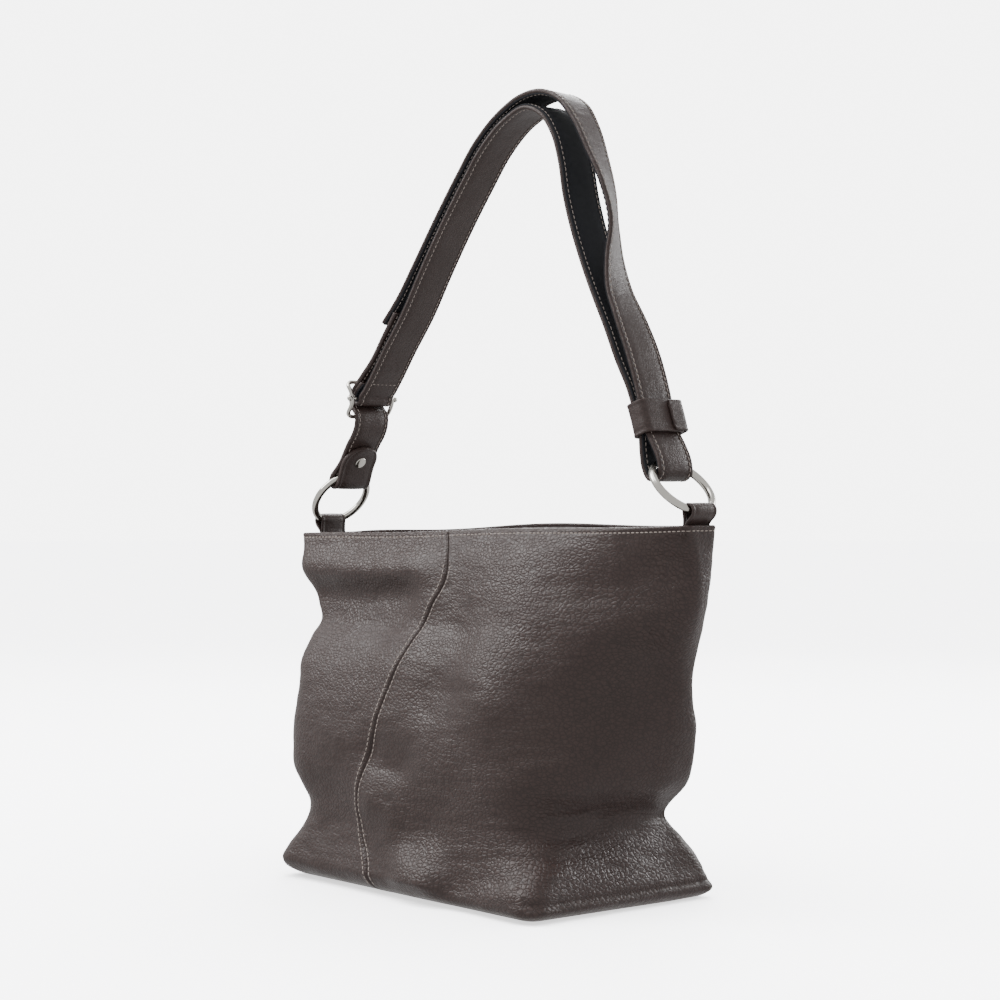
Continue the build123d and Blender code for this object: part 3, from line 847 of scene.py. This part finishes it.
def strip_section(half_width, low, high, groove, round_edge=0.9):
    """Loop of (across, out) round a leather strip, with grooves for stitches."""
    middle, half = (low + high) / 2, (high - low) / 2
    corner = min(half, round_edge)
    inner = half_width - corner
    shares = np.array([-1, -0.94, -0.87, -0.8, -0.73, -0.4, 0, 0.4, 0.73, 0.8, 0.87, 0.94, 1])
    dips = np.array([0.12, 0.02, -0.06, -0.28, 0.0, 0.12, 0.16, 0.12, 0.0, -0.28, -0.06, 0.02, 0.12])
    dips *= groove
    top = [(inner * s, high + d) for s, d in zip(shares, dips)]
    bottom = [(inner * s, low - d) for s, d in zip(shares[::-1], dips[::-1])]
    angles = [math.radians(a) for a in (60, 25, -25, -60)]
    right = [(inner + corner * math.cos(a), middle + half * math.sin(a)) for a in angles]
    left = [(-inner - corner * math.cos(a), middle - half * math.sin(a)) for a in angles]
    return top + right + bottom + left


def strip_frames(path, step):
    """Places along a strip: its middle, its outward normal, its lean, and how far
    along it is. A point of the path is X, Z and a lean, or X and Z alone."""
    line = smooth_path([(*point, 0)[:3] for point in path], step)
    centres = line[:, :2]
    ahead = unit(np.gradient(centres, axis=0))
    normals = np.column_stack([-ahead[:, 1], ahead[:, 0]])
    return centres, normals, line[:, 2], lengths(centres)


def strip_point(centre, normal, lean, across, out, half_width):
    """A point of a strip. Lean carries its near edge out and its far edge in."""
    share = -across / half_width
    tilt = math.asin(max(-0.95, min(0.95, lean / 2 / half_width)))
    flat = centre + normal * (out * math.cos(tilt) + share * lean / 2)
    y = across * math.cos(tilt) + out * math.sin(tilt)
    return (flat[0], y, flat[1])


def round_end(distance, half_width, radius):
    """Half width of a strip near an end with rounded corners."""
    if distance >= radius:
        return half_width
    return half_width - radius + math.sqrt(max(radius**2 - (radius - distance) ** 2, 0.01))


def strip(name, path, width, low, high, material, body, replaces, groove=1.0, step=2.2,
          round_start=0.0):
    """A strip of leather or webbing along a path."""
    half = width / 2
    sections = []
    for centre, normal, lean, place in zip(*strip_frames(path, step)):
        loop = strip_section(round_end(place, half, round_start), low, high, groove)
        sections.append([strip_point(centre, normal, lean, a, o, half) for a, o in loop])
    return tube_object(name, sections, material, body, replaces)


def edge_runs(path, out, start=0.0, finish=0.0):
    """Lines of stitches along a strap's two edges, on one face."""
    *frames, along = strip_frames(path, 1.2)
    keep = (along >= start) & (along <= along[-1] - finish)
    centres, normals, leans = (values[keep] for values in frames)
    side = 1 if out > 0 else -1
    ups = [(normal[0] * side, 0.0, normal[1] * side) for normal in normals]
    half = STRAP_WIDTH / 2
    runs = []
    for across in (half - STITCH_IN, STITCH_IN - half):
        frames = zip(centres, normals, leans)
        runs.append(([strip_point(*frame, across, out, half) for frame in frames], ups))
    return runs


def arc_points(centre, radius, start, end, count):
    """Points of (X, Z) round an arc, by angle in degrees."""
    angles = np.radians(np.linspace(start, end, count))
    return [(centre[0] + radius * math.cos(a), centre[1] + radius * math.sin(a)) for a in angles]


STRAP_WIDTH = 30
STRAP_LEATHER = 2.6
STRAP_BACK = 1.0
STRAP_HALF = (STRAP_LEATHER + STRAP_BACK) / 2
STITCH_IN = 3.1  # stitching from a strap's edge

# The strap's ends hang from the two rings: middle of each turn, and the
# directions across the strap and up it
RIGHT = (160.3, 282.8), (0.947, 0.32), (-0.32, 0.947)
LEFT = (-162.8, 276.7), (0.82, -0.573), (0.573, 0.82)


def hung(end, across, up):
    """A place in X and Z, by its distances across the strap and up it."""
    middle, way_across, way_up = end
    return tuple(middle[i] + way_across[i] * across + way_up[i] * up for i in (0, 1))


def fold(end, half, foot):
    """A path down to a ring, under its wire at foot, and up the other side."""
    both = [*half, (0, foot), *[(-across, up) for across, up in reversed(half)]]
    return [hung(end, across, up) for across, up in both]


PIN = (-136, 336)  # the buckle's pin, in X and Z
PIN_FOLD = 1.65  # from its middle to the strap
outer_layer = [
    (-106, 388.5), (-89, 405.5), (-71, 428), (-48, 457.5), (-26, 484), (-6, 506),
    (18, 523), (38, 531), (58, 531.5, 1), (74, 524, 3), (86, 509, 6), (97, 487, 10), (107, 464, 15),
    (112, 441, 18), (112.5, 420, 13), (116.5, 400, 7), (127.5, 378, 2), (138, 356.5),
]
right_turn = fold(RIGHT, [(3.2, 54), (2.5, 38), (2.5, 24), (5.4, 12), (6.6, 2), (4.6, -5)], -6.6)
inner_layer = [
    (129.5, 352), (119, 374), (108, 396, 1), (98, 418, 2), (89, 440, 2), (82, 462, 2), (77, 485, 1),
    (70, 503), (58, 518), (42, 524), (23, 518.5), (-2, 501), (-21, 479.5), (-43, 452.5),
    (-65.5, 422), (-84.5, 394.5), (-106, 368.8), (-121.5, 349), (-129.2, 340.2),
]
pin_turn = arc_points(PIN, PIN_FOLD + STRAP_HALF, 15, -185, 7)
fold_end = [(-136.4, 341.5), (-130.2, 346.5)]
strap_path = [*outer_layer, *right_turn, *inner_layer, *pin_turn, *fold_end]


def make_long_strap():
    leather_low = STRAP_HALF - STRAP_LEATHER
    strip("strap_long", strap_path, STRAP_WIDTH, leather_low, STRAP_HALF, strap_leather, "strap",
          ("long_strap",))
    strip("strap_lining", strap_path, STRAP_WIDTH - 1.2, -STRAP_HALF, leather_low, backing_cloth,
          "strap", ("strap_backing",), groove=0.8)
    runs = edge_runs(strap_path, STRAP_HALF, finish=14) + edge_runs(strap_path, -STRAP_HALF, finish=14)
    # a row across the strap closes its fold round the buckle's pin
    row, out = (-123.5, 346.8), (0.79, -0.61)
    for face in (1, -1):
        x, z = (row[i] + out[i] * STRAP_HALF * face for i in (0, 1))
        points = [(x, y, z) for y in np.linspace(-12, 12, 13)]
        runs.append((points, [(out[0] * face, 0, out[1] * face)] * len(points)))
    stitches("strap_long_stitches", runs, "strap", length=2.6, gap=1.1, radius=0.36)


SHORT_HALF = 1.6
RIVET_UP, RIVET_REACH, RIVET_RADIUS = 18, 3.3, 4.4
FLAP_END = 31  # how far up the short strap's fold ends
short_path = [
    hung(LEFT, 3.3, FLAP_END), hung(LEFT, 1.75, 24),
    *fold(LEFT, [(1.7, 14), (3.3, 6.5), (4.5, 0.5), (3.1, -3.4)], -4.7), hung(LEFT, -1.7, 24),
    (-146.5, 303), (-141, 309.5), (-137.4, 316.5), (-137.1, 324), (-142.4, 331), (-143.6, 338),
    (-138.4, 344.4), (-130.6, 351.8), (-120, 361.6), (-105, 380.3), (-93, 395),
]


def make_short_strap():
    # walking from the flap, the outside of the fold is on the negative side
    strip("strap_short", short_path, STRAP_WIDTH, -SHORT_HALF, SHORT_HALF, strap_leather, "strap",
          ("short_strap",), round_start=13.5, step=1.6)
    runs = edge_runs(short_path, SHORT_HALF, start=78) + edge_runs(short_path, -SHORT_HALF, start=13)
    stitches("strap_short_stitches", runs, "strap", length=2.6, gap=1.1, radius=0.36)


def turned_solid(name, centre, axis, profile, body, replaces, sides=48):
    """A turned piece of nickel: profile is (distance along the axis, radius)."""
    axis = Vector(axis).normalized()
    side = axis.orthogonal().normalized()
    other = axis.cross(side)
    angles = np.linspace(0, 2 * math.pi, sides, endpoint=False)
    round_axis = [side * math.cos(a) + other * math.sin(a) for a in angles]
    sections = []
    for along, radius in profile:
        middle = Vector(centre) + axis * along
        sections.append([tuple(middle + out * radius) for out in round_axis])
    tube_object(name, sections, nickel, body, replaces)


def dome(height, radius, base, steps=7):
    """Profile of a shallow domed head."""
    rows = [(base, radius)]
    for step in range(1, steps + 1):
        angle = math.pi / 2 * step / steps
        rows.append((base + height * math.sin(angle), max(radius * math.cos(angle) ** 0.6, 0.02)))
    return rows


def mirrored(half):
    """A profile whose two ends are alike."""
    return [(-along, radius) for along, radius in reversed(half)] + half


def make_rivet():
    x, z = hung(LEFT, 0, RIVET_UP)
    half = [(RIVET_REACH - 0.01, 2)] + dome(1.2, RIVET_RADIUS, RIVET_REACH)
    turned_solid("rivet", (x, 0, z), (LEFT[1][0], 0, LEFT[1][1]), mirrored(half),
                 "strap", ("strap_rivet",))


WIRE_SIDES = 14


def swept_wire(name, path, radius, body, replaces):
    """A closed round wire of nickel along a loop of points."""
    points = np.array(path, float)
    ahead = unit(np.roll(points, -1, axis=0) - np.roll(points, 1, axis=0))
    up = np.cross(ahead[0], [1.0, 0.0, 0.0])
    angles = np.linspace(0, 2 * math.pi, WIRE_SIDES, endpoint=False)
    sections = []
    for point, way in zip(points, ahead):
        up = unit(up - way * (up @ way))
        side = np.cross(way, up)
        sections.append([point + (up * math.cos(a) + side * math.sin(a)) * radius for a in angles])
    tube_object(name, sections, nickel, body, replaces, ring=True)


def rounded_outline(width, height, corner, steps=9, spacing=3.0):
    """A rounded rectangle about its middle, with points all along its sides."""
    loop = []
    for side, up, start in ((1, 1, 0), (-1, 1, 90), (-1, -1, 180), (1, -1, 270)):
        centre = (side * (width / 2 - corner), up * (height / 2 - corner))
        loop += arc_points(centre, corner, start, start + 90, steps)
    dense = []
    for (x0, z0), (x1, z1) in zip(loop, loop[1:] + loop[:1]):
        count = max(1, int(math.hypot(x1 - x0, z1 - z0) / spacing))
        dense += [(x0 + (x1 - x0) * k / count, z0 + (z1 - z0) * k / count) for k in range(count)]
    return dense


BUCKLE_X, BUCKLE_LOW, BUCKLE_HIGH, BUCKLE_WIDTH = -141.5, 323, 348, 37
BUCKLE_CORNER, BUCKLE_WIRE = 4, 1.5
BALL, PIN_RADIUS = 2.1, 1.3  # radius of the pin's ball ends, and of the pin


def make_buckle():
    """A thin wire frame, whose sides bow forward to the pin."""
    height, middle = BUCKLE_HIGH - BUCKLE_LOW, (BUCKLE_HIGH + BUCKLE_LOW) / 2
    path = []
    for y, up in rounded_outline(BUCKLE_WIDTH, height, BUCKLE_CORNER, spacing=1.5):
        share = up / height + 0.5
        bow = (PIN[0] - BUCKLE_X) * math.sin(math.pi * min(max((share - 0.08) / 0.84, 0), 1))
        path.append((BUCKLE_X + bow, y, middle + up))
    swept_wire("buckle_wire", path, BUCKLE_WIRE, "buckle", ("buckle_frame",))
    reach = BUCKLE_WIDTH / 2 + 2.2
    half = [(reach - BALL - 0.2, PIN_RADIUS)]
    for angle in np.linspace(2.6, 0, 8):
        half.append((reach + BALL * math.cos(angle), max(BALL * math.sin(angle), 0.02)))
    turned_solid("buckle_centre_pin", (PIN[0], 0, PIN[1]), (0, 1, 0), mirrored(half), "strap",
                 ("buckle_pin",), sides=24)


# ---- tabs

RING_RADIUS, RING_WIRE = 21.5, 2.5
TAB_WIDTH, TAB_PLY, TAB_TAIL = 22, 1.6, 7  # the tail is below the rim


def ring_foot(centre_x, centre_z, tilt):
    """Lowest point of a leaning ring's wire."""
    lean = math.radians(tilt)
    return (centre_x - RING_RADIUS * math.sin(lean), centre_z - RING_RADIUS * math.cos(lean))


def make_tab(name, foot, side, rim_x, rim_z):
    """A strip folded over the ring's wire, with its ends sewn in at the rim."""
    radius = RING_WIRE + 0.9 + TAB_PLY / 2
    top = (foot[0] - side * 0.6, foot[1] + 0.2)
    tail_x, tail_z = rim_x - side * 4.9, rim_z - TAB_TAIL
    end_x, half = tail_x - 2.5 * side, TAB_PLY / 2
    path = [(end_x - half - 0.1, tail_z), (tail_x - half - 0.2, rim_z + 1)]
    path += arc_points(top, radius, 200, -20, 11)
    path += [(tail_x + half + 0.2, rim_z + 1), (end_x + half + 0.1, tail_z)]
    piece = strip(name, path, TAB_WIDTH, -half, half, strap_leather, None,
                  ("left_ring_tab" if side < 0 else "right_ring_tab",), groove=0.8, step=1.1)
    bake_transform(piece)


# ---- keeper

KEEPER_UP, KEEPER_HALF = 33, 11  # middle of the keeper up the strap, half its height
KEEPER_ACROSS, KEEPER_DEEP = 6.4, 16.3  # half sizes, to the middle of its leather
KEEPER_CORNER, FLAP_CORNER = 3.4, 4.2
FLAP_OUT = 19.4  # the flap lies this far to the side
FLAP_FROM, FLAP_TO = 5.5, -10.6  # where its leather starts, in Y, and ends, across
FLAP_HALF, FLAP_ROUND = 10.4, 9.8  # half its height, and the rounding of its end
# Profiles of the snap: distance along its axis, and radius
snap_cap = [
    (-0.6, 0.02), (-0.6, 5.6), (0.2, 6.1), (0.7, 6.2), (1.1, 5.9), (1.5, 5.0), (1.6, 4.2), (1.5, 3.6),
    (1.7, 2.4), (1.9, 0.02),
]
snap_stud = [(-1.0, 0.02), (-1.0, 1.2), (0.1, 1.2), (0.1, 4.0), (0.5, 4.0), (0.8, 3.4), (0.8, 0.02)]


def keeper_section(path, half, thickness, flare):
    """Sections of upright leather along a level path of (across, Y)."""
    path = np.array(path, float)
    half = np.broadcast_to(half, len(path))
    ahead = unit(np.gradient(path, axis=0))
    sections = []
    for (across, y), (step_across, step_y), high in zip(path, ahead, half):
        loop = []
        for up, out in strip_section(high, -thickness / 2, thickness / 2, 0.5, 0.8):
            out += flare * (up / KEEPER_HALF) ** 2
            x, z = hung(RIGHT, across + step_y * out, KEEPER_UP + up)
            loop.append((x, y - step_across * out, z))
        sections.append(loop)
    return sections


def make_keeper():
    band = rounded_outline(2 * KEEPER_ACROSS, 2 * KEEPER_DEEP, KEEPER_CORNER, 7, 1.6)
    # its long faces swell a little over the two layers
    band = [(a + math.copysign(0.5, a) * max(0, 1 - (y / 14) ** 2), y) for a, y in band]
    wrapped = keeper_section(band[-2:] + band + band[:2], KEEPER_HALF, 2.0, 0.5)[2:-2]
    tube_object("keeper_loop", wrapped, strap_leather, "strap", ("keeper_band",), ring=True)

    # the flap is sewn to the front of the loop, turns its corner and lies on its side
    front = KEEPER_ACROSS + 2.3
    turn = arc_points((front - FLAP_CORNER, FLAP_OUT - FLAP_CORNER), FLAP_CORNER, 0, 90, 7)
    tongue = [(front, y) for y in np.arange(FLAP_FROM, FLAP_OUT - 5, 1.2)] + turn
    tongue += [(a, FLAP_OUT) for a in np.arange(turn[-1][0] - 1.2, FLAP_TO, -0.8)]
    along = lengths(tongue)
    half = [min(round_end(along[-1] - place, FLAP_HALF, FLAP_ROUND), round_end(place, FLAP_HALF, 3))
            for place in along]
    piece = tube_object("keeper_tongue", keeper_section(tongue, half, 1.8, 0), strap_leather, None,
                        ("keeper_flap",))
    x, z = hung(RIGHT, front, KEEPER_UP)
    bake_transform(piece)

    x, z = hung(RIGHT, 0, KEEPER_UP)
    turned_solid("snap_cap_head", (x, FLAP_OUT + 0.9, z), (0, 1, 0), snap_cap, "keeper_flap",
                 ("snap_cap",))
    turned_solid("snap_stud_head", (x, KEEPER_DEEP + 1, z), (0, 1, 0), snap_stud, "strap",
                 ("snap_stud",))


# ---- inner pocket

POCKET_WIDTH, POCKET_DROP, POCKET_TOP, POCKET_PLY = 170, 125, 218, 3
ZIP_LENGTH, ZIP_UP, TAPE_WIDTH, TOOTH_PITCH = 140, 196, 22, 2
POCKET_Y, POCKET_SLANT = 20, -0.037  # the pocket hangs level with the back wall


def pocket_point(x, out, z):
    """A point of the pocket, out towards the front of the bag."""
    return (x, POCKET_Y + x * POCKET_SLANT - out, z)


def pocket_slab(name, outline, up, layers, material, node):
    """A flat piece on the pocket. Layers give how far out it is, and its size there."""
    sections = [[pocket_point(x * size, out, up + z * size) for x, z in outline]
                for out, size in layers]
    tube_object(name, sections, material, "bag", (node,))


def make_pocket():
    outline = rounded_outline(POCKET_WIDTH, POCKET_DROP, 8)
    middle = POCKET_TOP - POCKET_DROP / 2
    slack_from = ZIP_UP - 14 - middle
    shares = np.sin(np.linspace(0.02, math.pi / 2, 22))
    sections = []
    for face, order in ((1, shares), (-1, shares[::-1])):
        for share in order:
            swell = (1 - share**5) ** 0.5
            loop = []
            for x, z in outline:
                x, z = x * share, z * share
                # the cloth crumples below the zip
                slack = min(max((slack_from - z) / 30, 0), 1)
                crumple = noise.noise(Vector((x * 0.05, face * 3.1, z * 0.07))) * 1.1 * slack
                out = -POCKET_PLY / 2 + face * swell * (POCKET_PLY / 2 - 0.15)
                out += min(crumple, 0.4) * (swell if face > 0 else 0.3)
                loop.append(pocket_point(x, out, middle + z))
            sections.append(loop)
    tube_object("pocket_cloth", sections, lining_cloth, "bag", ("pocket_bag",))
    # the leather binding hangs the pocket from the facing
    behind = [(-POCKET_PLY - out, size) for out, size in ((0, 0.97), (0.3, 1), (1.2, 1), (1.5, 0.97))]
    pocket_slab("binding_leather", rounded_outline(POCKET_WIDTH - 24, 5, 2), POCKET_TOP - 3, behind,
                facing_leather, "pocket_binding")
    tape = rounded_outline(ZIP_LENGTH + 12, TAPE_WIDTH, 1.5)
    pocket_slab("zip_tape", tape, ZIP_UP, [(0, 1), (0.35, 1), (0.6, 0.985)], tape_cloth,
                "pocket_zip_tape")
    run = rounded_outline(ZIP_LENGTH + 8, TAPE_WIDTH - 4, 2)
    points = [pocket_point(x, 0.65, ZIP_UP + z) for x, z in run + run[:1]]
    stitches("zip_stitches", [(points, [(0, -1, 0)] * len(points))], "bag")
    make_teeth()


def make_teeth():
    """Two rows of small metal teeth, that mesh along the middle of the zip."""
    tooth = [(0.0, -0.62), (0.35, -0.68), (1.5, -0.5), (1.5, 0.5), (0.35, 0.68), (0.0, 0.62)]
    layers = [(0.65, 0.9), (0.8, 1.0), (1.3, 1.0), (1.5, 0.85)]  # out from the tape, and size
    vertices, faces = [], []
    for index, x in enumerate(np.arange(-ZIP_LENGTH / 2 + 1, ZIP_LENGTH / 2, TOOTH_PITCH / 2)):
        side = 1 if index % 2 else -1
        faces += tube_faces(len(layers), len(tooth), len(vertices))
        for out, share in layers:
            for up, wide in tooth:
                z = ZIP_UP + side * (1.9 - up * 1.5 * share)
                vertices.append(pocket_point(x + wide * share * 0.85, out, z))
    outward(new_object("zip_teeth", vertices, faces, zip_metal, "bag",
                       ("pocket_zip_teeth",)))


# ---- CAD nodes, and the whole scene


def dress_cad_nodes():
    """CAD nodes whose shape is right get their materials and soft edges."""
    dressed = {
        nickel: ("left_ring", "right_ring", "magnet_stud", "magnet_socket"),
        zip_metal: ("pocket_zip_stops", "pocket_zip_slider", "pocket_zip_puller"),
    }
    for metal, names in dressed.items():
        for name in names:
            mesh = frame["nodes"][name].data
            mesh.materials.clear()
            mesh.materials.append(metal)
            mesh.polygons.foreach_set("use_smooth", [True] * len(mesh.polygons))


make_camera()
make_studio()
make_seam_stitches(make_panels())
make_inside()
make_long_strap()
make_short_strap()
make_rivet()
make_buckle()
make_tab("tab_left", ring_foot(-173, 264, 39), -1, -188, 238)
make_tab("tab_right", ring_foot(173, 271.2, -45), 1, 190, 247.5)
make_keeper()
make_pocket()
dress_cad_nodes()
